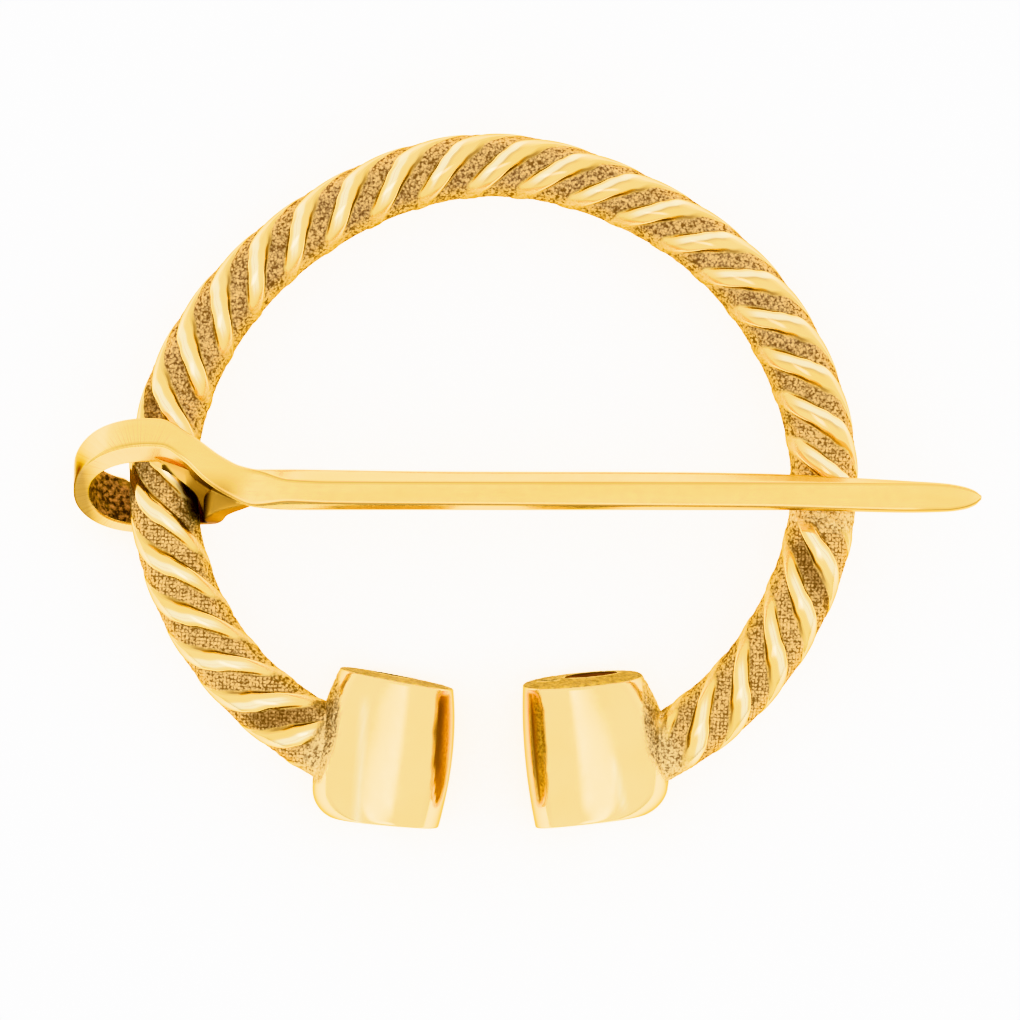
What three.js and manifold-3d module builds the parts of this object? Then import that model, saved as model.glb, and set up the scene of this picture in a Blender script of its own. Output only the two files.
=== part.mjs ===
// Penannular ring brooch: an open ring of twisted four-ridged stock with two
// rolled barrel terminals, and a straight pin whose strip end is rolled into a
// loop round the ring.  Millimetres, +Z up.  The brooch lies on its back: the
// ring's plane is level and the pin crosses the upper, front side of the ring.
// The solids are shaped about the ring's centre, then moved so that the origin
// is below the middle of the whole brooch, on the surface it lies on.
import * as THREE from 'three';
import Module from 'manifold-3d';
import { mergeVertices } from 'three/addons/utils/BufferGeometryUtils.js';

const wasm = await Module();
wasm.setup();

// ---------------------------------------------------------------- dimensions
// ring
const RING_R = 19.818;                               // mean radius of its centre line
const RING_COS = [0, -0.078, 0.499, -0.073, 0.172];  // departures from round,
const RING_SIN = [0, 0.004, -0.014, -0.046, 0.055];  // harmonics 1 to 4
const RING_START = 236;                // degrees, left end of the ribbed stock
const RING_END = -58;                  // degrees, right end, going clockwise
const RING_INTO_BARREL = 2.4;          // run of stock hidden in each terminal
const STOCK_RADIAL = 1.97;             // half width at the top of the ring
const STOCK_SWELL = 0.148;             // and its growth towards the terminals
const STOCK_DEPTH = 1.95;              // half depth
// ribs: a four-start helix, like a twisted square bar
const RIB_STARTS = 4;
const RIB_PITCH = 3.336;               // along the centre line
const RIB_FIRST = 4.061;               // first full rib from the left end
const RIB_BREAK = [82.0, 83.4, 84.6, 85.4];   // plain stretch: fades out, in
const RIB_AGAIN = 85.84;               // first rib after the plain stretch
const RIB_PITCH_2 = 3.354;
const RIB_AGAIN_NO = 25;
const RIB_HEIGHT = 0.30;               // above the sunk ground between ribs
const RIB_INNER = 0.25;                // share of it left on the inner edge
const RIB_OUTER = 0.60;                // and on the outer edge
const RIB_LEAN = 0.62;                 // lean of the ribs on the upper ring
const RIB_SECTION = [[-0.22, 0.82], [0, 1], [0.22, 0.82], [0.36, 0], [0.64, 0]];
const STATIONS = 126;
// terminals, seen from the front: corners of each barrel and the side the ring
// joins, which bows out a little (top, middle, bottom)
const BARREL = {
  left: {
    gapSide: [[-2.58, -12.87], [-2.50, -15.3], [-3.52, -21.52]],
    ringSide: [[-9.60, -11.50], [-10.66, -14.05], [-11.25, -20.80]],
    corner: 1.45, lean: [0.012, -0.03],
  },
  right: {
    gapSide: [[1.71, -12.62], [1.71, -15.2], [2.50, -21.52]],
    ringSide: [[9.10, -11.92], [10.32, -14.30], [10.42, -20.60]],
    corner: 1.45, lean: [0.085, -0.03],
  },
};
const BARREL_TOP = 3.00;               // front and back of the barrels, about
const BARREL_UNDER = -4.05;            // the ring's middle plane
const BARREL_POWER = 2.35;             // squareness of the section
const BARREL_POINTS = 28;
const BARREL_STEPS = [0, 0.3, 0.6, 0.84, 0.91, 0.96, 0.988, 1];
const FLAT_DEPTH = 0.18;               // small flat filed under each terminal
const BORE = { half: [1.66, 1.12], offset: 0.62, wall: 0.62, points: 18 };
const BORE_LEFT = { half: [1.45, 0.75], lower: 0.34 };   // the left one is smaller, nearer the back
const SLOT = { half: [0.66, 0.17], offset: 2.05, above: 0.9, depth: 0.9 };
// pin
const LOOP_CENTRE = [-21.45, 0.06, -0.02];
const LOOP_TILT = 33;                  // degrees the eye leans
const LOOP_YAW = 4.5;
const EYE = [3.66, 3.53];              // half width and half depth of the eye
const EYE_POWER = 2.2;
const STRIP_THICK = [1.92, 1.00, 0.98];    // in front, at the side, behind
const STRIP_WIDE = 2.07;
const STRIP_FLARE = 1.40;              // the thin side spreads wider inside
const LOOP_STEPS = 22;
const LOOP_FROM = -62;                 // degrees, behind and right of the ring
// neck: centre x, y, z, width, thickness, lean of the strip in degrees
const NECK = [
  [-18.87, 1.77, 3.50, 1.75, 1.80, 25, -20],
  [-17.22, 0.59, 3.28, 1.88, 1.76, 13, -33],
  [-15.93, -0.06, 3.13, 2.05, 1.74, 5, -24],
  [-14.49, -0.45, 3.03, 2.34, 1.76, 0, -8],
];
const BAR_UNDER = 2.14;                // underside and front face of the bar
const BAR_FRONT = 3.90;
// bar: x, top edge, top crease, lower crease, bottom edge
const BAR = [
  [-12.6, 0.72, 0.06, -1.27, -1.76],
  [-10.2, 0.69, -0.06, -1.36, -1.77],
  [-2.0, 0.59, -0.09, -1.44, -1.77],
  [9.0, 0.57, -0.10, -1.52, -1.77],
  [17.1, 0.45, -0.11, -1.60, -1.78],
  [21.7, 0.21, -0.12, -1.74, -1.86],
  [25.4, 0.01, -0.14, -1.82, -1.93],
  [27.6, -0.14, -0.24, -1.79, -1.88],
  [28.7, -0.33, -0.42, -1.63, -1.74],
  [29.4, -0.58, -0.66, -1.36, -1.48],
  [29.77, -0.86, -0.90, -1.09, -1.14],
];
const TIP_THIN = [25.0, 29.77, 0.42];  // the point thins from, to, by
// tail of the strip, tucked up under the neck: centre, half width, half
// thickness, lean
const TAIL = [
  [-20.05, -1.74, -3.12, 1.75, 0.88],
  [-18.75, -1.72, -2.58, 1.90, 0.86],
  [-17.80, -1.45, -1.35, 2.40, 0.88],
  [-17.45, -1.30, 0.10, 2.60, 0.95],
  [-17.35, -1.05, 1.35, 2.90, 1.25],
  [-16.90, -0.80, 2.20, 2.60, 1.50],
  [-15.20, -0.75, 2.70, 1.60, 1.10],
];
// web that fills the corner between the neck and the tail: top, foot, back
const GUSSET = [
  [[-21.20, 1.75, 4.10], [-21.20, 1.25, 3.45], [-21.20, 2.00, 3.20]],
  [[-20.46, 1.30, 3.95], [-20.46, 0.74, 2.85], [-20.46, 1.45, 2.95]],
  [[-19.72, 1.05, 3.85], [-19.72, 0.34, 2.50], [-19.72, 1.20, 2.80]],
  [[-18.91, 0.75, 3.75], [-18.91, -0.28, 2.15], [-18.91, 0.90, 2.80]],
  [[-18.10, 0.35, 3.55], [-18.35, -0.87, 1.75], [-18.00, 0.40, 2.60]],
  [[-17.30, -0.20, 3.30], [-18.04, -1.85, 0.90], [-17.20, 0.00, 2.40]],
  [[-16.60, -0.70, 2.90], [-17.92, -2.40, 0.20], [-16.60, -0.60, 2.00]],
];
// shift that puts the origin below the middle of the brooch, on its underside
const SHIFT = [-1.8135, 0.0366, 4.3195];

const rad = (d) => d * Math.PI / 180;
const lerp = (a, b, t) => a + (b - a) * t;
const clamp = (x, a, b) => Math.min(b, Math.max(a, x));
const smooth = (a, b, x) => { const t = clamp((x - a) / (b - a), 0, 1); return t * t * (3 - 2 * t); };

// ---------------------------------------------------------------- mesh tools
// Skin a list of rings of points (all the same length) and close both ends.
// Rings run so that the faces point outwards; `flip` turns them round.
function loft(rings, flip = false) {
  const n = rings[0].length, pos = [], tri = [];
  for (const ring of rings) for (const p of ring) pos.push(p[0], p[1], p[2]);
  const add = (a, b, c) => (flip ? tri.push(a, c, b) : tri.push(a, b, c));
  for (let i = 0; i + 1 < rings.length; i++) {
    for (let j = 0; j < n; j++) {
      const a = i * n + j, b = i * n + (j + 1) % n, c = a + n, d = b + n;
      add(a, b, d); add(a, d, c);
    }
  }
  const last = (rings.length - 1) * n;
  for (const [base, turn] of [[0, true], [last, false]]) {
    const m = [0, 0, 0];
    for (let j = 0; j < n; j++) for (let k = 0; k < 3; k++) m[k] += pos[(base + j) * 3 + k] / n;
    const mid = pos.length / 3;
    pos.push(...m);
    for (let j = 0; j < n; j++) {
      const a = base + j, b = base + (j + 1) % n;
      if (turn) add(b, a, mid); else add(a, b, mid);
    }
  }
  const geo = new THREE.BufferGeometry();
  geo.setAttribute('position', new THREE.Float32BufferAttribute(pos, 3));
  geo.setIndex(tri);
  return geo;
}

function solid(geometry) {
  const g = geometry.clone();
  g.deleteAttribute('normal');
  g.deleteAttribute('uv');
  const m = mergeVertices(g, 1e-4);
  return new wasm.Manifold(new wasm.Mesh({
    numProp: 3,
    vertProperties: new Float32Array(m.attributes.position.array),
    triVerts: new Uint32Array(m.index.array),
  }));
}

function toGeometry(manifold) {
  const m = manifold.getMesh();
  const pos = new Float32Array(m.numVert * 3);
  for (let i = 0; i < m.numVert; i++) for (let k = 0; k < 3; k++) {
    pos[3 * i + k] = m.vertProperties[i * m.numProp + k];
  }
  const geo = new THREE.BufferGeometry();
  geo.setAttribute('position', new THREE.BufferAttribute(pos, 3));
  geo.setIndex(new THREE.BufferAttribute(new Uint32Array(m.triVerts), 1));
  geo.computeVertexNormals();
  return geo;
}

// ---------------------------------------------------------------- the ring
function ringPoint(deg) {
  const t = rad(deg);
  let r = RING_R;
  for (let k = 1; k <= 4; k++) r += RING_COS[k] * Math.cos(k * t) + RING_SIN[k] * Math.sin(k * t);
  return [r * Math.cos(t), r * Math.sin(t)];
}

// distance along the centre line, measured clockwise from the left end
const TABLE = [];
{
  let s = 0, prev = ringPoint(RING_START + 12);
  const fine = 0.05;
  for (let d = RING_START + 12; d >= RING_END - 12; d -= fine) {
    const p = ringPoint(d);
    s += Math.hypot(p[0] - prev[0], p[1] - prev[1]);
    TABLE.push([s, d]);
    prev = p;
  }
  const zero = TABLE.reduce((a, b) => (Math.abs(b[1] - RING_START) < Math.abs(a[1] - RING_START) ? b : a))[0];
  for (const row of TABLE) row[0] -= zero;
}
function angleAt(s) {
  let lo = 0, hi = TABLE.length - 1;
  while (hi - lo > 1) { const m = (lo + hi) >> 1; if (TABLE[m][0] <= s) lo = m; else hi = m; }
  return lerp(TABLE[lo][1], TABLE[hi][1], (s - TABLE[lo][0]) / (TABLE[hi][0] - TABLE[lo][0]));
}
const RING_LENGTH = TABLE.reduce((a, b) => (Math.abs(b[1] - RING_END) < Math.abs(a[1] - RING_END) ? b : a))[0];

const ribNumber = (s) => {
  const before = (s - RIB_FIRST) / RIB_PITCH;
  const after = RIB_AGAIN_NO + (s - RIB_AGAIN) / RIB_PITCH_2;
  return lerp(before, after, smooth(RIB_BREAK[0], RIB_BREAK[3] - 0.4, s));
};
const ribAmount = (s) => smooth(0.1, 0.9, s)
  * (1 - smooth(RIB_BREAK[0], RIB_BREAK[1], s) + smooth(RIB_BREAK[2], RIB_BREAK[3], s))
  * (1 - smooth(RING_LENGTH - 1.5, RING_LENGTH - 0.3, s));
const ribLean = (s) => RIB_LEAN * smooth(16, 20.5, s) * (1 - smooth(80, 84, s));

// angle round the stock (0 in front, 90 outwards) where the helix has phase q
function helixAngle(q, lean) {
  let a = q - lean * (1 - Math.cos(q));
  for (let i = 0; i < 12; i++) a -= (a + lean * (1 - Math.cos(a)) - q) / (1 + lean * Math.sin(a));
  return a;
}

function stockSection(s) {
  const deg = angleAt(s), [x, y] = ringPoint(deg);
  const p = ringPoint(deg + 0.5), q = ringPoint(deg - 0.5);
  const l = Math.hypot(q[0] - p[0], q[1] - p[1]);
  const tangent = [(q[0] - p[0]) / l, (q[1] - p[1]) / l];
  const out = [-tangent[1], tangent[0]];                 // away from the centre
  const half = STOCK_RADIAL + STOCK_SWELL * (1 - Math.sin(rad(deg)));
  const count = ribNumber(s), amount = ribAmount(s), lean = ribLean(s);
  const ring = [];
  for (let k = 0; k < RIB_STARTS; k++) for (const [phase, height] of RIB_SECTION) {
    const a = helixAngle((Math.PI / 2) * (count - k - phase), lean);
    const side = Math.sin(a) < 0 ? RIB_INNER : RIB_OUTER;   // ribs sink into the edges
    const sink = RIB_HEIGHT * (1 - height * amount) * (side + (1 - side) * Math.cos(a) ** 2);
    const v = (half - sink) * Math.sin(a), z = (STOCK_DEPTH - sink) * Math.cos(a);
    ring.push([x + out[0] * v, y + out[1] * v, z]);
  }
  return ring;
}

function makeStock() {
  const rings = [], from = -RING_INTO_BARREL, to = RING_LENGTH + RING_INTO_BARREL;
  for (let i = 0; i < STATIONS; i++) rings.push(stockSection(lerp(from, to, i / (STATIONS - 1))));
  return outward(rings);
}

// ---------------------------------------------------------------- terminals
const bow = (a, b, c, t) => {            // curve through b near the first third
  const u = 0.3, w = (k) => (b[k] - (1 - u) ** 2 * a[k] - u * u * c[k]) / (2 * u * (1 - u));
  return [0, 1].map((k) => (1 - t) ** 2 * a[k] + 2 * t * (1 - t) * w(k) + t * t * c[k]);
};
function barrelRing(b, t) {
  const g = bow(...b.gapSide, t);
  let r = bow(...b.ringSide, t);
  const w = Math.hypot(r[0] - g[0], r[1] - g[1]);
  const from = 1 - b.corner / 9, turn = clamp((t - from) / (1 - from), 0, 1);
  const cut = b.corner * (1 - Math.sqrt(1 - turn * turn * 0.98)) / w;
  r = [lerp(r[0], g[0], cut), lerp(r[1], g[1], cut)];
  const c = [(g[0] + r[0]) / 2, (g[1] + r[1]) / 2], h = [(r[0] - g[0]) / 2, (r[1] - g[1]) / 2];
  const mz = (BARREL_TOP + BARREL_UNDER) / 2, hz = (BARREL_TOP - BARREL_UNDER) / 2;
  const lean = lerp(b.lean[0], b.lean[1], t), ring = [];
  for (let i = 0; i < BARREL_POINTS; i++) {
    const a = 2 * Math.PI * (i + 0.5) / BARREL_POINTS, p = 2 / BARREL_POWER;
    const cu = Math.sign(Math.cos(a)) * Math.abs(Math.cos(a)) ** p;
    const cz = Math.sign(Math.sin(a)) * Math.abs(Math.sin(a)) ** p;
    let z = mz + hz * cz;
    z = Math.max(z, BARREL_UNDER + FLAT_DEPTH);
    ring.push([c[0] + h[0] * cu, c[1] + h[1] * cu - lean * hz * cz, z]);
  }
  return ring;
}

// a straight tube from end to end of a barrel, for the hole and the slot
function barrelTool(b, half, offset, z, from, to, points) {
  const rings = [];
  for (const t of [from, to]) {
    const g = [0, 1].map((k) => lerp(b.gapSide[0][k], b.gapSide[2][k], t));
    const r = [0, 1].map((k) => lerp(b.ringSide[0][k], b.ringSide[2][k], t));
    const w = Math.hypot(r[0] - g[0], r[1] - g[1]);
    const u = [(r[0] - g[0]) / w, (r[1] - g[1]) / w];
    const c = [(g[0] + r[0]) / 2 + u[0] * offset, (g[1] + r[1]) / 2 + u[1] * offset];
    rings.push([...Array(points)].map((_, i) => {
      const a = 2 * Math.PI * i / points;
      return [c[0] + u[0] * half[0] * Math.cos(a), c[1] + u[1] * half[0] * Math.cos(a), z + half[1] * Math.sin(a)];
    }));
  }
  return rings;
}

function outward(rings) {                // loft with its faces turned outwards
  const g = loft(rings);
  const p = g.attributes.position, idx = g.index;
  let vol = 0;
  const v = [0, 1, 2].map(() => new THREE.Vector3());
  for (let i = 0; i < idx.count; i += 3) {
    v.forEach((q, k) => q.fromBufferAttribute(p, idx.getX(i + k)));
    vol += v[0].dot(v[1].clone().cross(v[2])) / 6;
  }
  return vol > 0 ? g : loft(rings, true);
}

function makeBarrel(b) {
  const body = solid(outward(BARREL_STEPS.map((t) => barrelRing(b, t))));
  const boreZ = BARREL_UNDER + BORE.wall + BORE.half[1];
  const left = b === BARREL.left;
  const bore = solid(outward(barrelTool(b, left ? BORE_LEFT.half : BORE.half, BORE.offset,
    boreZ - (left ? BORE_LEFT.lower : 0), -0.15, 1.15, BORE.points)));
  const slot = solid(outward(barrelTool(b, SLOT.half, -SLOT.offset, boreZ + SLOT.above, -0.15, SLOT.depth / 9, 10)));
  return { body, bore, slot };
}

// ---------------------------------------------------------------- the pin
const tilt = rad(LOOP_TILT), yaw = rad(LOOP_YAW);
const X_AXIS = new THREE.Vector3(Math.cos(yaw), 0, -Math.sin(yaw));
const B_AXIS = new THREE.Vector3(0, Math.sin(tilt), Math.cos(tilt));
B_AXIS.addScaledVector(X_AXIS, -B_AXIS.dot(X_AXIS)).addScaledVector(X_AXIS, 0).normalize();
const A_AXIS = new THREE.Vector3().crossVectors(X_AXIS, B_AXIS).normalize();

// value going from its front amount through the side to the back amount
const round3 = (list, sinB) => (sinB > 0 ? lerp(list[1], list[0], sinB ** 2.6) : lerp(list[1], list[2], -sinB));

// Eight corners of a section: upper edge, (bevel), crease, lower front crease,
// bottom edge, back edges.  side = across the strip towards the lower edge,
// out = away from the eye.
function stripCorners(c, side, out, w, t, bevel = 0.10, flare = 0) {
  const at = (a, b) => c.clone().addScaledVector(side, a).addScaledVector(out, b).toArray();
  const W = w / 2, T = t / 2, e = bevel;
  return [at(-W, T - e), at(-W + e, T), at(W - e, T), at(W, T - e),
    at(W, -T + e), at(W - e, -T), at(-W + e - flare, -T), at(-W - flare, -T + e)];
}

function loopRing(deg) {
  const b = rad(deg), cb = Math.cos(b), sb = Math.sin(b);
  const out = new THREE.Vector3().addScaledVector(X_AXIS, cb).addScaledVector(B_AXIS, sb);
  const t = round3(STRIP_THICK, sb);
  const curve = (v) => Math.sign(v) * Math.abs(v) ** (2 / EYE_POWER);
  const c = new THREE.Vector3(...LOOP_CENTRE).addScaledVector(X_AXIS, EYE[0] * curve(cb))
    .addScaledVector(B_AXIS, EYE[1] * curve(sb)).addScaledVector(out, t / 2);
  const flare = STRIP_FLARE * smooth(165, 215, deg) * (1 - smooth(245, 275, deg));
  return stripCorners(c, A_AXIS, out, STRIP_WIDE, t, 0.10, flare);
}

function neckRing([x, y, z, w, t, lean, fall]) {
  const f = rad(fall), l = rad(lean);
  const along = new THREE.Vector3(Math.cos(f), Math.sin(f), 0);
  const across = new THREE.Vector3(Math.sin(f), -Math.cos(f), 0);      // towards the lower edge
  const side = across.clone().multiplyScalar(Math.cos(l)).add(new THREE.Vector3(0, 0, Math.sin(l)));
  const out = new THREE.Vector3().crossVectors(along, side).negate();
  if (out.z < 0) out.negate();
  return stripCorners(new THREE.Vector3(x, y, z), side, out, w, t, 0.14);
}

function barRing([x, top, crease, low, bottom]) {
  const thin = smooth(TIP_THIN[0], TIP_THIN[1], x) * TIP_THIN[2];
  const f = BAR_FRONT - thin, u = BAR_UNDER + thin, m = (f - u);
  return [[x, top, f - 0.42 * m], [x, crease, f], [x, low, f], [x, bottom, f - 0.28 * m],
    [x, bottom, u + 0.14 * m], [x, bottom + 0.16, u], [x, top - 0.16, u], [x, top, u + 0.14 * m]];
}

function tailRing([x, y, z, w, t], i, all) {
  const p = all[Math.max(0, i - 1)], q = all[Math.min(all.length - 1, i + 1)];
  const along = new THREE.Vector3(q[0] - p[0], q[1] - p[1], q[2] - p[2]).normalize();
  const blend = i / (all.length - 1);
  const side = A_AXIS.clone().lerp(new THREE.Vector3(0, -1, 0), blend * 0.8);
  side.addScaledVector(along, -side.dot(along)).normalize();
  const out = new THREE.Vector3().crossVectors(along, side).normalize();
  return stripCorners(new THREE.Vector3(x, y, z), side, out, w, t, 0.1);
}

function makePin() {
  const rings = [];
  for (let i = 0; i <= LOOP_STEPS; i++) rings.push(loopRing(lerp(360 + LOOP_FROM, 84, i / LOOP_STEPS)));
  for (const row of NECK) rings.push(neckRing(row));
  for (const row of BAR) rings.push(barRing(row));
  const main = solid(outward(rings));
  const tail = solid(outward(TAIL.map(tailRing)));
  const web = solid(outward(GUSSET));
  return main.add(tail).add(web);
}

// ---------------------------------------------------------------- assembly
const brass = (color, roughness) => new THREE.MeshStandardMaterial({ color, roughness, metalness: 1 });
const group = new THREE.Group();
const place = (name, geometry, material) => {
  const mesh = new THREE.Mesh(geometry, material);
  mesh.name = name;
  mesh.position.set(...SHIFT);
  group.add(mesh);
};

{
  const l = makeBarrel(BARREL.left), r = makeBarrel(BARREL.right);
  let body = solid(makeStock()).add(l.body).add(r.body);
  for (const tool of [l.bore, r.bore, r.slot]) body = body.subtract(tool);
  place('ring', toGeometry(body), brass(0xcf9f45, 0.34));
  place('pin', toGeometry(makePin()), brass(0xe6bd62, 0.26));
}

export default group;
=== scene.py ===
"""Looks of the penannular ring brooch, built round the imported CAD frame.

Shapes are worked out in millimetres about the ring's centre, as in the CAD,
then moved by SHIFT and scaled to metres.  Two pieces: the ring with its two
terminals (one casting), and the loose pin.
"""

import math

import bpy
import numpy as np
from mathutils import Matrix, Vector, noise


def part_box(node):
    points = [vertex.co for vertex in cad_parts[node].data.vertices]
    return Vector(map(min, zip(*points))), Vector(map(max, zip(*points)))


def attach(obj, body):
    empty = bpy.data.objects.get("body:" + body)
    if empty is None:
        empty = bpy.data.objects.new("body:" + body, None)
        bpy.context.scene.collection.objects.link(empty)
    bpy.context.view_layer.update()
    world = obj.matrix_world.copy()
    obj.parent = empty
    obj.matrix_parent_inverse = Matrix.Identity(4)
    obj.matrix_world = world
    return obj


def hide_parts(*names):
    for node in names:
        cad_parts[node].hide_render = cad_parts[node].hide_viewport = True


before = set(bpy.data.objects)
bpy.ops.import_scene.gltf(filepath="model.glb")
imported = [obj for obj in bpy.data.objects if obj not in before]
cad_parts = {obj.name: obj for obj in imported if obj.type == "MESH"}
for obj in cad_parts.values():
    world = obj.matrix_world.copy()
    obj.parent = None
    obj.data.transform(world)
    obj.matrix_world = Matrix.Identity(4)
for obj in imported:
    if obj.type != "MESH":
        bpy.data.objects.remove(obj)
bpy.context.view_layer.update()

SHIFT = np.array([-1.8135, 0.0366, 4.3195])
MM = 0.001


def smooth(a, b, x):
    t = np.clip((np.asarray(x, float) - a) / (b - a), 0, 1)
    return t * t * (3 - 2 * t)


def lerp(a, b, t):
    return a + (b - a) * t


def grain(points, size, seed):
    """Smooth random heights, -1 to 1, with features about `size` mm across."""
    k = 1.0 / size
    off = (13.7 * seed, 5.1 * seed, 9.3 * seed)
    return np.array([noise.noise((p[0] * k + off[0], p[1] * k + off[1], p[2] * k + off[2]))
                     for p in points])


# ------------------------------------------------------------------ mesh help
def make_mesh(name, verts, faces, attrs=None):
    me = bpy.data.meshes.new(name)
    v = (np.asarray(verts) + SHIFT) * MM
    me.from_pydata(v.tolist(), [], faces)
    me.update()
    for key, val in (attrs or {}).items():
        a = me.attributes.new(key, "FLOAT", "POINT")
        a.data.foreach_set("value", np.asarray(val, np.float32))
    ob = bpy.data.objects.new(name, me)
    bpy.context.scene.collection.objects.link(ob)
    return ob


def volume_sign(verts, faces):
    v = np.asarray(verts)
    tot = 0.0
    for f in faces:
        for k in range(1, len(f) - 1):
            tot += np.dot(v[f[0]], np.cross(v[f[k]], v[f[k + 1]]))
    return tot


def loft(rings, caps=True):
    """Closed skin over rings (array: stations, points, 3), faces outwards."""
    rings = np.asarray(rings)
    m, n, _ = rings.shape
    verts = rings.reshape(-1, 3).tolist()
    faces = []
    for i in range(m - 1):
        for j in range(n):
            k = (j + 1) % n
            faces.append((i * n + j, i * n + k, (i + 1) * n + k, (i + 1) * n + j))
    for base, rev in ((0, True), ((m - 1) * n, False)):
        c = rings.reshape(-1, 3)[base:base + n].mean(0)
        verts.append(c.tolist())
        mid = len(verts) - 1
        for j in range(n):
            a, b = base + j, base + (j + 1) % n
            faces.append((b, a, mid) if rev else (a, b, mid))
    sample = [faces[i] for i in range(0, len(faces), 1)]
    if volume_sign(verts, sample) < 0:
        faces = [tuple(reversed(f)) for f in faces]
    return np.array(verts), faces


def boolean(ob, other, operation):
    m = ob.modifiers.new("join", "BOOLEAN")
    m.operation = operation
    m.object = other
    m.solver = "MANIFOLD"
    dg = bpy.context.evaluated_depsgraph_get()
    me = bpy.data.meshes.new_from_object(ob.evaluated_get(dg))
    ob.modifiers.remove(m)
    old = ob.data
    ob.data = me
    bpy.data.meshes.remove(old)
    tool = other.data
    bpy.data.objects.remove(other)
    bpy.data.meshes.remove(tool)
    return ob


def read_points(ob):
    co = np.zeros(len(ob.data.vertices) * 3, np.float32)
    ob.data.vertices.foreach_get("co", co)
    return co.reshape(-1, 3).astype(float) / MM - SHIFT


def read_attr(ob, name):
    v = np.zeros(len(ob.data.vertices), np.float32)
    if name in ob.data.attributes:
        ob.data.attributes[name].data.foreach_get("value", v)
    return v.astype(float)


def write_points(ob, pts):
    ob.data.vertices.foreach_set("co", ((pts + SHIFT) * MM).astype(np.float32).ravel())
    ob.data.update()


def write_attr(ob, name, val):
    at = ob.data.attributes
    a = at[name] if name in at else at.new(name, "FLOAT", "POINT")
    a.data.foreach_set("value", np.asarray(val, np.float32))


def read_normals(ob):
    n = np.zeros(len(ob.data.vertices) * 3, np.float32)
    ob.data.vertices.foreach_get("normal", n)
    return n.reshape(-1, 3).astype(float)


def polygon_distance(x, y, poly):
    """Distance inside a polygon, positive within and negative outside, mm."""
    d = np.full(x.shape, 1e9)
    inside = np.zeros(x.shape, bool)
    for i in range(len(poly)):
        (x0, y0), (x1, y1) = poly[i], poly[(i + 1) % len(poly)]
        ex, ey = x1 - x0, y1 - y0
        t = np.clip(((x - x0) * ex + (y - y0) * ey) / (ex * ex + ey * ey), 0, 1)
        d = np.minimum(d, np.hypot(x - x0 - t * ex, y - y0 - t * ey))
        if y1 != y0:
            cross = ((y0 > y) != (y1 > y)) & (x < (x1 - x0) * (y - y0) / (y1 - y0) + x0)
            inside ^= cross
    return np.where(inside, d, -d)


# ----------------------------------------------------------------- ring stock
# centre line that the ribs are counted along, and the finer outline: harmonics
COUNT_COS = [19.818, -0.078, 0.499, -0.073, 0.172]
COUNT_SIN = [0, 0.004, -0.014, -0.046, 0.055]
MID_COS = [19.7916, -0.0465, 0.5301, -0.0570, 0.1724, -0.0161, -0.0484, 0.0254, 0.0353]
MID_SIN = [0, 0.0192, -0.0087, -0.0626, 0.0391, -0.0037, -0.0068, 0.0105, -0.0105]
HALF_COS = [2.0950, -0.0260, 0.0037, 0.0471, 0.0465, -0.0353, -0.0093]
HALF_SIN = [0, -0.1364, 0.0229, 0.0366, -0.0198, 0.0223, 0.0043]
DEPTH = 1.95
RING_START, RING_END, HIDDEN = 236.0, -58.0, 2.4
PITCH, FIRST, PITCH_2, AGAIN, AGAIN_NO = 3.336, 4.061, 3.354, 85.84, 25
BREAK = [82.0, 83.4, 84.6, 85.4]
LEAN = 0.62
RIB_HEIGHT = 0.44


def harmonic(cos, sin, t):
    r = np.full(np.shape(t), float(cos[0]))
    for k in range(1, len(cos)):
        r = r + cos[k] * np.cos(k * t) + sin[k] * np.sin(k * t)
    return r


_deg = np.arange(RING_START + 12, RING_END - 12, -0.02)
_t = np.radians(_deg)
_r = harmonic(COUNT_COS, COUNT_SIN, _t)
_x, _y = _r * np.cos(_t), _r * np.sin(_t)
_s = np.concatenate([[0], np.cumsum(np.hypot(np.diff(_x), np.diff(_y)))])
_s -= np.interp(-RING_START, -_deg, _s)
LENGTH = float(np.interp(-RING_END, -_deg, _s))


def angle_at(s):
    return np.radians(np.interp(s, _s, _deg))


def distance_at(t):
    return np.interp(-np.degrees(t), -_deg, _s)


def middle(t):
    r = harmonic(MID_COS, MID_SIN, t)
    return np.stack([r * np.cos(t), r * np.sin(t)], -1)


def outward_dir(t):
    d = middle(t + 0.004) - middle(t - 0.004)
    d /= np.linalg.norm(d, axis=-1, keepdims=True)
    return np.stack([d[..., 1], -d[..., 0]], -1)      # away from the centre


def rib_number(s):
    before = (s - FIRST) / PITCH
    after = AGAIN_NO + (s - AGAIN) / PITCH_2
    return lerp(before, after, smooth(BREAK[0], BREAK[3] - 0.4, s))


def rib_amount(s):
    return (smooth(0.1, 0.9, s)
            * (1 - smooth(BREAK[0], BREAK[1], s) + smooth(BREAK[2], BREAK[3], s))
            * (1 - smooth(LENGTH - 1.5, LENGTH - 0.3, s)))


def rib_lean(s):
    return LEAN * smooth(16, 20.5, s) * (1 - smooth(80, 84, s))


def rib_shift(s, sa):
    """Departures of the ribs from an even twist, in pitches."""
    along = np.interp(s, [8, 22, 32, 44, 56, 70, 82, 92], [0.075, 0.02, 0.10, 0.140, 0.225, 0.24, 0.12, 0.06])
    outer = -0.08 * smooth(0.0, 0.4, sa) - lerp(0.06, 0.17, smooth(18, 26, s) * (1 - smooth(80, 86, s))) * smooth(0.4, 0.8, sa)
    inner = -0.05 * smooth(0.4, 0.8, -sa)
    return along + outer + inner


def rib_phase(s, a):
    """Whole numbers are rib crests, halves the middle of the ground."""
    q = a + rib_lean(s) * (1 - np.cos(a))
    return rib_number(s) - q / (math.pi / 2) - rib_shift(s, np.sin(a))


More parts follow.
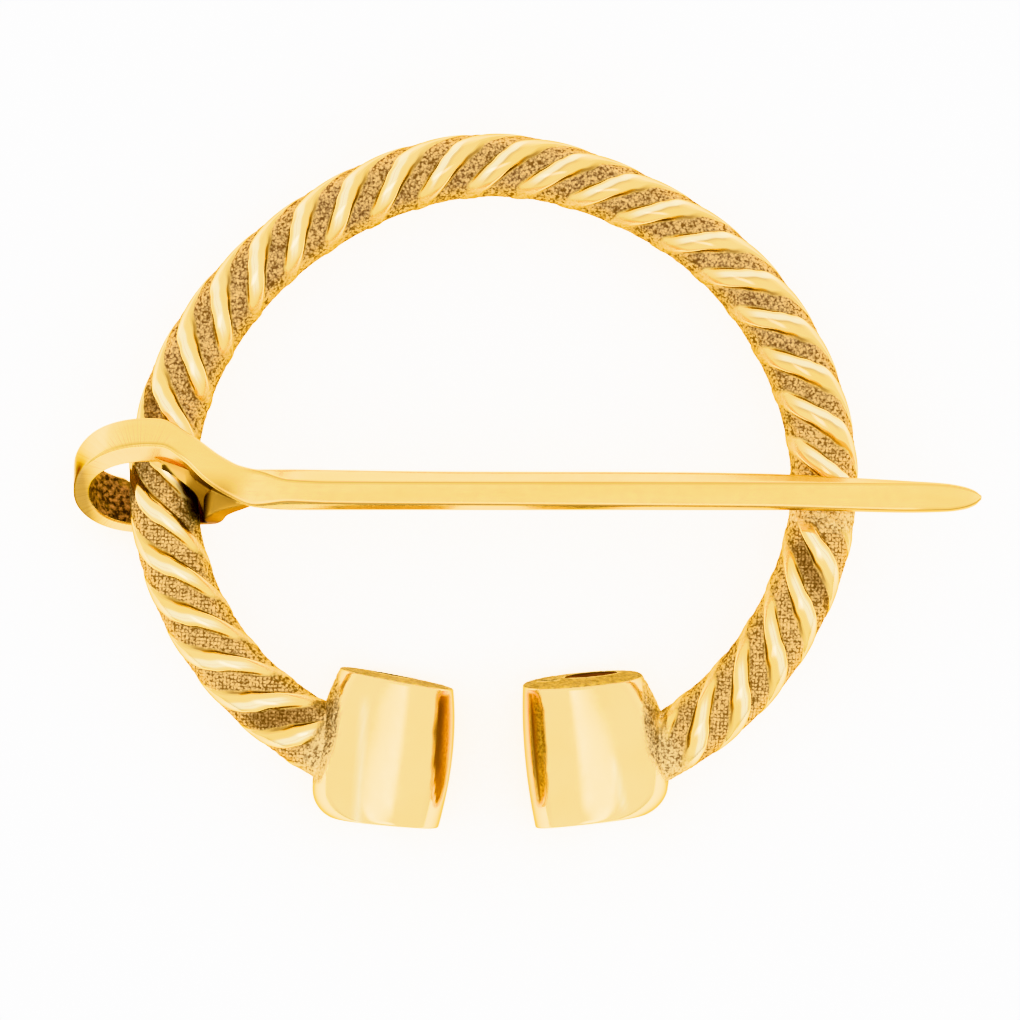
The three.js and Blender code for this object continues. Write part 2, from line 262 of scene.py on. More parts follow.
def rib_angle(s, c):
    """Angle round the stock where the phase is c."""
    lean = rib_lean(s)
    q = (rib_number(s) - c) * (math.pi / 2)
    a = q.copy()
    for _ in range(60):
        goal = q - rib_shift(s, np.sin(a)) * (math.pi / 2)
        step = (a + lean * (1 - np.cos(a)) - goal) / (1 + lean * np.sin(a))
        a = a - 0.7 * step
    return a


def rib_profile(off, wide):
    """Rounded top, steep on one side and a longer slope on the other."""
    p = np.abs(off) / wide
    far = np.where(off > 0, 0.325, 0.262)
    return (1 - 0.20 * (np.minimum(p, 0.2) / 0.20) ** 2) * (1 - smooth(0.185, far, p))


def stock_fields(s, a):
    """Relief and surface masks at distance s along and angle a round."""
    ph = rib_phase(s, a)
    off = ph - np.round(ph)
    sa = np.sin(a)
    third = smooth(44, 50, s) * (1 - smooth(80, 84, s))
    wide = (lerp(0.95, 1.03, third) - 0.42 * smooth(0.60, 0.97, -sa) - 0.14 * smooth(0.55, 0.95, sa))
    p = np.abs(off) / wide
    amount = rib_amount(s)
    h = rib_profile(off, wide) * amount
    top = smooth(17, 24, s) * (1 - smooth(74, 82, s))
    side = np.where(sa < 0, 0.15, 0.18)
    share = side + (1 - side) * np.cos(a) ** 2
    inner = smooth(0.66, 0.90, -sa)
    ground = lerp(1.0, smooth(np.where(off > 0, 0.285, 0.225), np.where(off > 0, 0.335, 0.270), p), amount)
    ground = np.maximum(ground, inner * lerp(0.60, 0.85, top))
    # painted shade: dark brown down the rib walls, where the ground falls into shade
    wall = np.where(off > 0, smooth(0.215, 0.265, p) * (1 - smooth(0.300, 0.340, p)),
                    0.75 * np.exp(-((p - 0.250) / 0.026) ** 2))
    wall = wall * amount * (1 - 0.85 * inner) * (1 - 0.75 * smooth(0.45, 0.85, sa))
    # painted highlight: a pale band near each rib's crest, where the rib mirrors the overhead lights
    high = np.where(third > 0.5, off / wide + 0.085, off / wide)
    high = high + 0.025 * (1 - third)
    painted_crest_highlight = (1 - smooth(lerp(0.055, 0.045, third), lerp(0.125, 0.100, third), np.abs(high))) * amount
    painted_crest_highlight = painted_crest_highlight * (1 - smooth(0.30, 0.66, -sa)) * (1 - 0.75 * smooth(0.55, 0.85, sa))
    # painted reflection: thin dark lines along the rib tops, where they mirror the dark centre between the
    # overhead lights
    painted_dark_line = np.exp(-((off - 0.005) / 0.032) ** 2) * amount * third * (1 - smooth(0.45, 0.7, np.abs(sa)))
    painted_dark_line = np.maximum(painted_dark_line, 0.5 * np.exp(-((off + 0.03) / 0.012) ** 2) * amount * (1 - third) * (1 - smooth(0.4, 0.7, np.abs(sa))))
    return dict(h=h, ground=ground, share=share, inner=inner, top=top, wall=wall, painted_crest_highlight=painted_crest_highlight, painted_dark_line=painted_dark_line)


CREST_COLUMNS = [0, 0.04, 0.08, 0.12, 0.15, 0.175, 0.20, 0.225, 0.25, 0.275, 0.305, 0.335, 0.38, 0.425, 0.47]


def build_stock():
    cols = sorted(set([-c for c in CREST_COLUMNS] + CREST_COLUMNS))
    phase = np.array([k + c for k in range(4) for c in cols])
    n_s = 640
    s = np.linspace(-HIDDEN, LENGTH + HIDDEN, n_s)
    S, C = np.meshgrid(s, phase, indexing="ij")
    A = rib_angle(S, C)
    T = angle_at(S)
    M, O = middle(T), outward_dir(T)
    half = harmonic(HALF_COS, HALF_SIN, T)
    f = stock_fields(S, A)
    sink = RIB_HEIGHT * (1 - f["h"]) * f["share"]
    flat = np.stack([M[..., 0] + O[..., 0] * half * np.sin(A),
                     M[..., 1] + O[..., 1] * half * np.sin(A), DEPTH * np.cos(A)], -1)
    g1 = grain(flat.reshape(-1, 3), 0.24, 1).reshape(S.shape)
    g2 = grain(flat.reshape(-1, 3), 0.50, 2).reshape(S.shape)
    patch = np.exp(-((flat[..., 0] + 21.3) ** 2 + (flat[..., 1] - 4.7) ** 2) / 1.3) * (flat[..., 2] > 0)
    rough = f["ground"] * (1 - 0.4 * f["inner"]) * (g1 * 0.050 + g2 * 0.040) * (1 + 1.3 * patch)
    sink = np.maximum(sink - rough, -0.02)
    v = (half - sink) * np.sin(A)
    z = (DEPTH - sink) * np.cos(A)
    P = np.stack([M[..., 0] + O[..., 0] * v, M[..., 1] + O[..., 1] * v, z], -1)
    verts, faces = loft(P)
    n = P.shape[0] * P.shape[1]
    pits = np.full(len(verts), 0.5)
    pits[:n] = (0.5 - 0.5 * (0.8 * g1 + 0.5 * g2)).ravel()
    return make_mesh("stock", verts, faces, {"part": np.zeros(len(verts)), "pits": pits})


# ------------------------------------------------------------------ terminals
BARREL = {
    "left": dict(gap=[(-2.58, -12.87), (-2.50, -15.3), (-3.52, -21.52)],
                 ring=[(-9.60, -11.50), (-10.66, -14.05), (-11.25, -20.80)],
                 corner=1.45, lean=(0.012, -0.03)),
    "right": dict(gap=[(1.71, -12.62), (1.71, -15.2), (2.50, -21.52)],
                  ring=[(9.10, -11.92), (10.32, -14.30), (10.42, -20.60)],
                  corner=1.45, lean=(0.085, -0.03)),
}
B_TOP, B_UNDER, B_POWER, B_FLAT = 3.00, -4.05, 2.35, 0.18
BORE = dict(half=(1.66, 1.12), offset=0.62, wall=0.62)
SLOT = dict(half=(0.66, 0.17), offset=2.05, above=0.9, depth=0.9)
# hollows facing the gap, and the grained webs where the ring joins: outlines
# seen from the front
LENS = {
    "left": [(-3.40, -13.05), (-2.73, -13.15), (-2.70, -14.4), (-2.74, -16.0), (-2.84, -17.6),
             (-2.98, -18.7), (-3.25, -19.6), (-3.64, -20.2), (-3.74, -19.0), (-3.78, -17.0), (-3.72, -15.4), (-3.55, -14.0)],
    "right": [(1.98, -13.05), (2.54, -13.0), (2.79, -13.6), (3.07, -14.8), (3.13, -17.5), (3.13, -19.2),
              (2.82, -20.05), (2.60, -19.7), (2.45, -18.5), (2.29, -17.0), (2.11, -15.0)],
}
WEB = {
    "left": [(-9.55, -11.4), (-9.62, -12.6), (-9.52, -14.2), (-9.68, -15.6), (-10.1, -16.9),
             (-10.75, -18.6), (-12.5, -18.9), (-12.5, -11.0)],
    "right": [(9.05, -11.8), (9.12, -13.2), (9.10, -15.0), (9.35, -16.6), (9.9, -17.6),
              (10.55, -18.6), (12.0, -18.8), (12.0, -11.4)],
}


def bow(pts, t):
    a, b, c = (np.array(p, float) for p in pts)
    u = 0.3
    w = (b - (1 - u) ** 2 * a - u * u * c) / (2 * u * (1 - u))
    return (1 - t) ** 2 * a + 2 * t * (1 - t) * w + t * t * c


def barrel_ring(b, t, n, inset=0.0):
    g, r = bow(b["gap"], t), bow(b["ring"], t)
    w = np.linalg.norm(r - g)
    start = 1 - b["corner"] / 9
    turn = min(max((t - start) / (1 - start), 0), 1)
    cut = b["corner"] * (1 - math.sqrt(1 - turn * turn * 0.98)) / w
    r = lerp(r, g, cut)
    c, h = (g + r) / 2, (r - g) / 2
    L = np.linalg.norm(h)
    mz, hz = (B_TOP + B_UNDER) / 2, (B_TOP - B_UNDER) / 2
    ln = lerp(b["lean"][0], b["lean"][1], t)
    a = 2 * np.pi * (np.arange(n) + 0.5) / n
    # even spacing on the squarish section
    ca, sa = np.cos(a), np.sin(a)
    rr = (np.abs(ca) ** B_POWER + np.abs(sa) ** B_POWER) ** (-1 / B_POWER)
    cu, cz = ca * rr, sa * rr
    fu, fz = (L - inset) / L, (hz - inset) / hz
    z = mz + hz * cz * fz
    z = np.maximum(z, B_UNDER + B_FLAT)
    return np.stack([c[0] + h[0] * cu * fu, c[1] + h[1] * cu * fu - ln * hz * cz * fz, z], -1)


def build_barrel(side, n=104, steps=60):
    b = BARREL[side]
    r = 0.11
    prof = [(0.0, 2.9), (0.0, 2.3), (0.0, 1.7), (0.0, 1.15), (0.0, 0.62), (0.0, r)]
    for k in range(1, 5):
        q = k / 4 * math.pi / 2
        prof.append(((r * (1 - math.cos(q))) / 9, r * (1 - math.sin(q))))
    for k in range(1, steps):
        prof.append((lerp(r / 9, 1 - r / 9, k / steps), 0.0))
    for k in range(0, 4):
        q = (4 - k) / 4 * math.pi / 2
        prof.append((1 - r * (1 - math.cos(q)) / 9, r * (1 - math.sin(q))))
    prof += [(1.0, r), (1.0, 0.62), (1.0, 1.15), (1.0, 1.7), (1.0, 2.3), (1.0, 2.9)]
    rings = np.array([barrel_ring(b, t, n, i) for t, i in prof])
    verts, faces = loft(rings)
    return make_mesh("barrel_" + side, verts, faces,
                     {"part": np.full(len(verts), 1.0 if side == "left" else 2.0),
                      "pits": np.full(len(verts), 0.5)})


def barrel_tool(b, half, offset, z, t0, t1, n, steps=30):
    rings = []
    for t in np.linspace(t0, t1, steps):
        g = lerp(np.array(b["gap"][0]), np.array(b["gap"][2]), t)
        r = lerp(np.array(b["ring"][0]), np.array(b["ring"][2]), t)
        u = (r - g) / np.linalg.norm(r - g)
        c = (g + r) / 2 + u * offset
        a = 2 * np.pi * np.arange(n) / n
        wob = 1 + 0.02 * np.sin(3 * a + 7 * t) + 0.015 * np.sin(5 * a - 11 * t)
        rings.append(np.stack([c[0] + u[0] * half[0] * np.cos(a) * wob, c[1] + u[1] * half[0] * np.cos(a) * wob,
                               z + half[1] * np.sin(a) * wob], -1))
    verts, faces = loft(np.array(rings))
    return make_mesh("tool", verts, faces, {"part": np.full(len(verts), 3.0), "pits": np.full(len(verts), 0.5)})


def build_ring():
    ob = build_stock()
    boolean(ob, build_barrel("left"), "UNION")
    boolean(ob, build_barrel("right"), "UNION")
    bz = B_UNDER + BORE["wall"] + BORE["half"][1]
    for side in ("left", "right"):
        half, low = (BORE["half"], 0.0) if side == "right" else ((1.45, 0.75), 0.34)
        boolean(ob, barrel_tool(BARREL[side], half, BORE["offset"], bz - low, -0.15, 1.15, 40), "DIFFERENCE")
    boolean(ob, barrel_tool(BARREL["right"], SLOT["half"], -SLOT["offset"], bz + SLOT["above"], -0.15,
                            SLOT["depth"] / 9, 20, 6), "DIFFERENCE")
    ob.name = ob.data.name = "twisted_ring"

    P, part = read_points(ob), read_attr(ob, "part")
    N = read_normals(ob)
    t = np.arctan2(P[:, 1], P[:, 0])
    t = np.where(t < math.radians(-88), t + 2 * math.pi, t)
    for _ in range(3):
        d = (middle(t + 0.004) - middle(t - 0.004)) / 0.008
        t = t + ((P[:, :2] - middle(t)) * d).sum(1) / (d * d).sum(1)
    s = distance_at(t)
    half = harmonic(HALF_COS, HALF_SIN, t)
    v = ((P[:, :2] - middle(t)) * outward_dir(t)).sum(1)
    a = np.arctan2(v / half, P[:, 2] / DEPTH)
    f = stock_fields(s, a)
    ground, inner, top = f["ground"], f["inner"], f["top"]
    stock = part < 0.5
    term = (part > 0.5) & (part < 2.5)
    bore = part > 2.5

    ground = np.where(stock, ground, 0.0)
    inner = np.where(stock, inner, 0.0)
    deep = np.where(bore, 1.0, 0.0)
    web = np.zeros(len(P))
    lens = np.zeros(len(P))
    for side, k in (("left", 1.0), ("right", 2.0)):
        on = np.abs(part - k) < 0.4
        w = smooth(-0.10, 0.14, polygon_distance(P[:, 0], P[:, 1], WEB[side]))
        web = np.where(on, w, web)
        hol = smooth(-0.03, 0.10, polygon_distance(P[:, 0], P[:, 1], LENS[side])) * (P[:, 2] > -1.6)
        lens = np.where(on, hol, lens)
    g1, g2 = grain(P[term], 0.19, 4), grain(P[term], 0.42, 5)
    move = np.zeros(len(P))
    move[term] = web[term] * (g1 * 0.055 + g2 * 0.045 - 0.03)
    move[term] -= lens[term] * (0.10 + 0.02 * g2)
    # the sawn and filed end faces, with small scallops along the front edge
    end = np.where(term, smooth(0.55, 0.85, N[:, 1]) * (P[:, 1] > -14.5), 0.0)
    scallop = smooth(0.3, 0.9, np.sin(P[:, 0] * 7.6 + 1.2 * np.sin(P[:, 0] * 2.1))) * smooth(1.3, 2.5, P[:, 2])
    move -= end * (0.03 * scallop + 0.02)
    move[term] += end[term] * g1 * 0.03
    P2 = P + N * move[:, None]
    write_points(ob, P2)
    pits = read_attr(ob, "pits")
    pits[term] = 0.5 - 0.5 * (0.7 * g1 + 0.5 * g2)

    # brown patina: strongest in the ground of the upper ring, olive gold below
    lower = np.where(stock, 1 - top, 0.0)
    # painted highlight: one spot in the right-hand notch is painted as a bright glint, with its grained ground
    # taken out
    painted_glint = np.exp(-((P[:, 0] - 10.2) / 0.26) ** 2 - ((P[:, 1] + 14.8) / 0.55) ** 2) * (P[:, 2] > 0)
    write_attr(ob, "ground", np.maximum(ground, web) * (1 - 0.9 * painted_glint))
    write_attr(ob, "inner", inner)
    write_attr(ob, "lower", np.maximum(lower, web))
    # painted shadow: the ring beside the neck of the pin is painted near black where it lies in shade
    u = (P[:, 0] + 18.75) * 0.5 - (P[:, 1] + 1.0) * 0.866
    w = (P[:, 0] + 18.75) * 0.866 + (P[:, 1] + 1.0) * 0.5
    painted_neck_shadow = np.exp(-(u / 1.6) ** 4 - (w / 0.50) ** 4) * stock * (P[:, 2] > -1)
    write_attr(ob, "deep", deep)
    write_attr(ob, "painted_neck_shadow", painted_neck_shadow)
    write_attr(ob, "term", term.astype(float))
    # stretches of the ground that are darker and browner than the rest
    brown = np.zeros(len(P))
    for cx, cy, along, long, short in ((19.6, -5.35, -61, 1.9, 0.75), (-13.3, -14.6, 3, 2.4, 0.75), (-21.3, 4.8, 70, 1.2, 0.8),
                                       (20.6, -7.4, -70, 0.9, 0.5)):
        c, d = math.cos(math.radians(along)), math.sin(math.radians(along))
        u, w = (P[:, 0] - cx) * c + (P[:, 1] - cy) * d, -(P[:, 0] - cx) * d + (P[:, 1] - cy) * c
        brown = np.maximum(brown, np.exp(-(u / long) ** 4 - (w / short) ** 4) * (P[:, 2] > 0))
    write_attr(ob, "brown", brown)
    write_attr(ob, "plain", np.maximum(np.where(stock, 1 - rib_amount(s), 0.0), web))
    write_attr(ob, "lens", lens)
    write_attr(ob, "end", end * (1 - 0.25 * scallop))
    # how far across its hollow, 0 at the gap to 1 at the front
    rx = np.interp(-P[:, 1], [13, 15, 17, 18.5, 19.8], [1.98, 2.11, 2.29, 2.45, 2.62])
    lx = np.interp(-P[:, 1], [13, 15.4, 17, 19, 20.2], [-3.40, -3.72, -3.78, -3.74, -3.64])
    rw = np.interp(-P[:, 1], [13, 14.8, 19.2, 20], [2.54, 3.07, 3.13, 2.85]) - rx
    across = np.where(part > 1.5, (P[:, 0] - rx) / np.maximum(rw, 0.1), (P[:, 0] - lx) / 0.95)
    write_attr(ob, "across", np.clip(np.where(part > 1.5, across, 0.12 + 0.2 * across), 0, 1) * (lens > 0.01))
    write_attr(ob, "pits", pits)
    for key in ("wall", "painted_crest_highlight", "painted_dark_line"):
        write_attr(ob, key, np.maximum(np.where(stock, f[key], 0.0), painted_glint if key == "painted_crest_highlight" else 0.0))
    # painted highlight: pale stripes down the fronts of the terminals, where they mirror the lights
    px, py = P[:, 0], P[:, 1]
    left = np.exp(-((px + 8.2 - 0.064 * (py + 17)) / 0.24) ** 2) * smooth(-12.9, -14.2, py)
    right = np.exp(-((px - 7.55 + 0.21 * (py + 18.4)) / 0.22) ** 2) * smooth(-16.4, -17.6, py) * smooth(-20.6, -19.6, py)
    write_attr(ob, "painted_stripe_highlight", np.where(term, np.where(px < 0, left, right), 0.0) * (P[:, 2] > 1) * (1 - web) * (1 - lens))
    return ob


# ------------------------------------------------------------------------ pin
LOOP_CENTRE = np.array([-21.45, 0.06, -0.02])
TILT, YAW = math.radians(33), math.radians(4.5)
EYE, EYE_POWER = (3.66, 3.53), 2.2
THICK, WIDE, FLARE = (1.92, 1.00, 0.98), 2.07, 1.40
NECK = [(-18.87, 1.77, 3.50, 1.75, 1.80, 25, -20), (-17.22, 0.59, 3.28, 1.88, 1.76, 13, -33),
        (-15.93, -0.06, 3.13, 2.05, 1.74, 5, -24), (-14.49, -0.45, 3.03, 2.34, 1.76, 0, -8)]
BAR_UNDER, BAR_FRONT = 2.14, 3.90
BAR = [(-12.6, 0.72, 0.06, -1.27, -1.76), (-10.2, 0.69, -0.06, -1.36, -1.77), (-2.0, 0.59, -0.09, -1.44, -1.77),
       (9.0, 0.57, -0.10, -1.52, -1.77), (17.1, 0.45, -0.11, -1.60, -1.78), (21.7, 0.21, -0.12, -1.74, -1.86),
       (25.4, 0.01, -0.14, -1.82, -1.93), (27.6, -0.14, -0.24, -1.79, -1.88), (28.7, -0.33, -0.42, -1.63, -1.74),
       (29.4, -0.58, -0.66, -1.36, -1.48), (29.77, -0.86, -0.90, -1.09, -1.14)]
TIP = (25.0, 29.77, 0.42)
TAIL = [(-20.05, -1.74, -3.12, 1.75, 0.88), (-18.75, -1.72, -2.58, 1.90, 0.86), (-17.80, -1.45, -1.35, 2.40, 0.88),
        (-17.45, -1.30, 0.10, 2.60, 0.95), (-17.35, -1.05, 1.35, 2.90, 1.25), (-16.90, -0.80, 2.20, 2.60, 1.50),
        (-15.20, -0.75, 2.70, 1.60, 1.10)]
# web that fills the corner between the neck and the tail: top, foot, back
GUSSET = [((-21.20, 1.75, 4.10), (-21.20, 1.25, 3.45), (-21.20, 2.00, 3.20)),
          ((-20.46, 1.30, 3.95), (-20.46, 0.74, 2.85), (-20.46, 1.45, 2.95)),
          ((-19.72, 1.05, 3.85), (-19.72, 0.34, 2.50), (-19.72, 1.20, 2.80)),
          ((-18.91, 0.75, 3.75), (-18.91, -0.28, 2.15), (-18.91, 0.90, 2.80)),
          ((-18.10, 0.35, 3.55), (-18.35, -0.87, 1.75), (-18.00, 0.40, 2.60)),
          ((-17.30, -0.20, 3.30), (-18.04, -1.85, 0.90), (-17.20, 0.00, 2.40)),
          ((-16.60, -0.70, 2.90), (-17.92, -2.40, 0.20), (-16.60, -0.60, 2.00))]


def unit(v):
    v = np.asarray(v, float)
    return v / np.linalg.norm(v)


X_AXIS = np.array([math.cos(YAW), 0, -math.sin(YAW)])
_b = np.array([0, math.sin(TILT), math.cos(TILT)])
B_AXIS = unit(_b - X_AXIS * (_b @ X_AXIS))
A_AXIS = unit(np.cross(X_AXIS, B_AXIS))


def strip_corners(c, side, out, w, t, bevel=0.10, flare=0.0):
    W, T, e = w / 2, t / 2, bevel
    at = lambda a, b: c + side * a + out * b
    return np.array([at(-W, T - e), at(-W + e, T), at(W - e, T), at(W, T - e),
                     at(W, -T + e), at(W - e, -T), at(-W + e - flare, -T), at(-W - flare, -T + e)])


def loop_ring(deg):
    b = math.radians(deg)
    cb, sb = math.cos(b), math.sin(b)
    out = X_AXIS * cb + B_AXIS * sb
    t = lerp(THICK[1], THICK[0], sb ** 2.6) if sb > 0 else lerp(THICK[1], THICK[2], -sb)
    curve = lambda v: math.copysign(abs(v) ** (2 / EYE_POWER), v)
    c = LOOP_CENTRE + X_AXIS * EYE[0] * curve(cb) + B_AXIS * EYE[1] * curve(sb) + out * t / 2
    flare = FLARE * float(smooth(165, 215, deg) * (1 - smooth(245, 275, deg)))
    return strip_corners(c, A_AXIS, out, WIDE, t, 0.10, flare)


def neck_ring(row):
    x, y, z, w, t, lean, fall = row
    f, l = math.radians(fall), math.radians(lean)
    along = np.array([math.cos(f), math.sin(f), 0])
    across = np.array([math.sin(f), -math.cos(f), 0])
    side = across * math.cos(l) + np.array([0, 0, math.sin(l)])
    out = -np.cross(along, side)
    if out[2] < 0:
        out = -out
    return strip_corners(np.array([x, y, z]), side, out, w, t, 0.14)


def bar_ring(row):
    x, top, crease, low, bottom = row
    thin = float(smooth(TIP[0], TIP[1], x)) * TIP[2]
    f, u = BAR_FRONT - thin, BAR_UNDER + thin
    m = f - u
    dip = 0.045 * float(smooth(-14.0, -11.0, x)) * (1 - float(smooth(26.0, 29.0, x)))
    return np.array([[x, top, f - 0.42 * m], [x, crease, f - dip], [x, low, f], [x, bottom, f - 0.28 * m],
                     [x, bottom, u + 0.14 * m], [x, bottom + 0.16, u], [x, top - 0.16, u], [x, top, u + 0.14 * m]])


def tail_ring(i):
    x, y, z, w, t = TAIL[i]
    p, q = TAIL[max(0, i - 1)], TAIL[min(len(TAIL) - 1, i + 1)]
    along = unit([q[k] - p[k] for k in range(3)])
    side = lerp(A_AXIS, np.array([0.0, -1.0, 0.0]), i / (len(TAIL) - 1) * 0.8)
    side = unit(side - along * (side @ along))
    out = unit(np.cross(along, side))
    return strip_corners(np.array([x, y, z]), side, out, w, t, 0.10)


def pchip(x, y, xi):
    """Shape-keeping cubic through rows y at x, read at xi."""
    x, xi = np.asarray(x, float), np.asarray(xi, float)
    y = np.asarray(y, float)
    flat = y.reshape(len(x), -1)
    h = np.diff(x)[:, None]
    d = np.diff(flat, axis=0) / h
    m = np.zeros_like(flat)
    w1, w2 = 2 * h[1:] + h[:-1], h[1:] + 2 * h[:-1]
    same = d[:-1] * d[1:] > 0
    with np.errstate(divide="ignore", invalid="ignore"):
        hm = (w1 + w2) / (w1 / d[:-1] + w2 / d[1:])
    m[1:-1] = np.where(same, hm, 0)
    m[0], m[-1] = d[0], d[-1]
    k = np.clip(np.searchsorted(x, xi, side="right") - 1, 0, len(x) - 2)
    t = ((xi - x[k]) / (x[k + 1] - x[k]))[:, None]
    H = (x[k + 1] - x[k])[:, None]
    out = ((2 * t ** 3 - 3 * t ** 2 + 1) * flat[k] + (t ** 3 - 2 * t ** 2 + t) * H * m[k]
           + (-2 * t ** 3 + 3 * t ** 2) * flat[k + 1] + (t ** 3 - t ** 2) * H * m[k + 1])
    return out.reshape((len(xi),) + y.shape[1:])


EDGE_POINTS = [5, 11, 3, 9, 1, 9, 1, 9]


def round_section(c, radius):
    """Eight corners to a full section with small rounded corners."""
    n = len(c)
    radius = np.broadcast_to(radius, (n,))
    pts, face, crease = [], [], []
    starts, ends = [], []
    for i in range(n):
        a, b, d = c[i - 1], c[i], c[(i + 1) % n]
        la, ld = np.linalg.norm(a - b), np.linalg.norm(d - b)
        ra, rd = min(radius[i], 0.42 * la), min(radius[i], 0.42 * ld)
        starts.append(b + (a - b) * (ra / max(la, 1e-9)))
        ends.append(b + (d - b) * (rd / max(ld, 1e-9)))
    for i in range(n):
        for u in (0.0, 0.34, 0.66, 1.0):
            pts.append((1 - u) ** 2 * starts[i] + 2 * u * (1 - u) * c[i] + u * u * ends[i])
            face.append(i if u > 0.5 else (i - 1) % n)
            crease.append({1: 0.8, 2: 1.0}.get(i, 0.0) * (1.0 if 0 < u < 1 else 0.45))
        k = EDGE_POINTS[i]
        for j in range(1, k + 1):
            pts.append(lerp(ends[i], starts[(i + 1) % n], j / (k + 1)))
            face.append(i)
            crease.append(0.0)
    return np.array(pts), np.array(face), np.array(crease)


def build_pin():
    deg = np.linspace(298, 84, 150)
    stations = [loop_ring(d) for d in deg]
    kind = [0.0] * len(stations)
    ctrl = [loop_ring(d) for d in (104, 94, 84)] + [neck_ring(r) for r in NECK] + [bar_ring(r) for r in BAR]
    ctrl = np.array(ctrl)
    mid = ctrl.mean(1)
    run = np.concatenate([[0], np.cumsum(np.linalg.norm(np.diff(mid, axis=0), axis=1))])
    start = run[2]
    neck_end = run[2 + len(NECK)]
    where = np.concatenate([np.linspace(start, neck_end, 46)[1:], np.linspace(neck_end, run[-4], 120)[1:],
                            np.linspace(run[-4], run[-1], 26)[1:]])
    for c, w in zip(pchip(run, ctrl, where), where):
        stations.append(c)
        kind.append(min((w - start) / (neck_end - start), 1.0))
    rings, faces_of, creases = [], [], []
    # painted shade: a dark line follows the crease at the edge of the loop over its top and down the neck, and
    # along the bar's front edges
    early = [float(smooth(125, 100, d)) for d in deg] + [float(1 - smooth(0.10, 0.40, k)) for k in kind[len(deg):]]
    for c, k, e in zip(stations, kind, early):
        rad = np.array([0.10, 0.075, 0.12, 0.09, 0.08, 0.1, 0.1, 0.1])
        pts, fc, cr = round_section(c, rad)
        rings.append(pts)
        faces_of.append(fc)
        creases.append(cr * max(float(smooth(0.75, 1.0, k)), 0.7 * e))
    rings = np.array(rings)
    fc = np.array(faces_of)
    st = np.repeat(np.array(kind)[:, None], fc.shape[1], 1)
    verts, faces = loft(rings)
    extra = len(verts) - fc.size
    side = np.concatenate([fc.ravel(), np.full(extra, 5)])
    kindv = np.concatenate([st.ravel(), np.zeros(extra)])
    inner = ((side == 5) | (side == 4) & False) & (kindv < 0.75)
    painted_dark_line = np.concatenate([np.array(creases).ravel(), np.zeros(extra)])
    main = make_mesh("bar_pin", verts, faces, {
        "side": side.astype(float), "kind": kindv, "rough": inner.astype(float), "painted_dark_line": painted_dark_line})

    ctrl = np.array([tail_ring(i) for i in range(len(TAIL))])
    run = np.concatenate([[0], np.cumsum(np.linalg.norm(np.diff(ctrl.mean(1), axis=0), axis=1))])
    rings = [round_section(c, 0.22)[0] for c in pchip(run, ctrl, np.linspace(0, run[-1], 60))]
    verts, faces = loft(np.array(rings))
    n = len(verts)
    tail = make_mesh("tail", verts, faces, {"side": np.full(n, 9.0), "kind": np.zeros(n), "rough": np.zeros(n),
                                            "painted_dark_line": np.zeros(n)})
    boolean(main, tail, "UNION")
    rows = np.array(GUSSET)
    run = np.concatenate([[0], np.cumsum(np.linalg.norm(np.diff(rows[:, 1], axis=0), axis=1))])
    rings = []
    for c in pchip(run, rows, np.linspace(0, run[-1], 48)):
        edge = []
        for i in range(3):
            edge += [lerp(c[i], c[(i + 1) % 3], j / 8) for j in range(8)]
        edge = np.array(edge)
        # the slope is slightly hollow
        bulge = np.zeros(24)
        bulge[:8] = -0.10 * np.sin(np.pi * np.arange(8) / 8)
        way = unit(np.cross(c[1] - c[0], np.array([1.0, -0.6, -0.4])))
        way = way if way @ (c[1] - c[2]) > 0 else -way
        rings.append(edge + bulge[:, None] * way)
    verts, faces = loft(np.array(rings))
    n = len(verts)
    web = make_mesh("gusset", verts, faces, {"side": np.full(n, 10.0), "kind": np.zeros(n), "rough": np.zeros(n),
                                             "painted_dark_line": np.zeros(n)})
    boolean(main, web, "UNION")
    main.name = main.data.name = "bar_pin"

    P, side, kindv, rough = read_points(main), read_attr(main, "side"), read_attr(main, "kind"), read_attr(main, "rough")
    N = read_normals(main)
    g = grain(P, 0.26, 7)
    g2 = grain(P, 0.7, 8)
    move = rough * (np.minimum(g * 0.07 + g2 * 0.06, 0.02) - 0.03)
    # the hand-filed faces are not quite even
    wave = np.array([noise.noise((p[0] * 0.22, p[1] * 0.5, p[2] * 0.5 + 3.1)) for p in P])
    move += (1 - rough) * wave * np.where(kindv > 0.98, 0.008, 0.018)
    # the hidden inner corner at the back of the loop is eased, so that the ribs clear it as the pin swings
    ease = (smooth(2.30, 2.62, P[:, 1]) * smooth(3.35, 3.05, P[:, 1]) * smooth(2.95, 2.65, P[:, 2])
            * smooth(-21.7, -21.2, P[:, 0]) * smooth(-19.6, -20.0, P[:, 0]) * (side > 4.5) * (side < 7.5))
    move -= 0.085 * ease * (P[:, 2] > 0)
    write_points(main, P + N * move[:, None])
    write_attr(main, "pits", 0.5 - 0.5 * g)
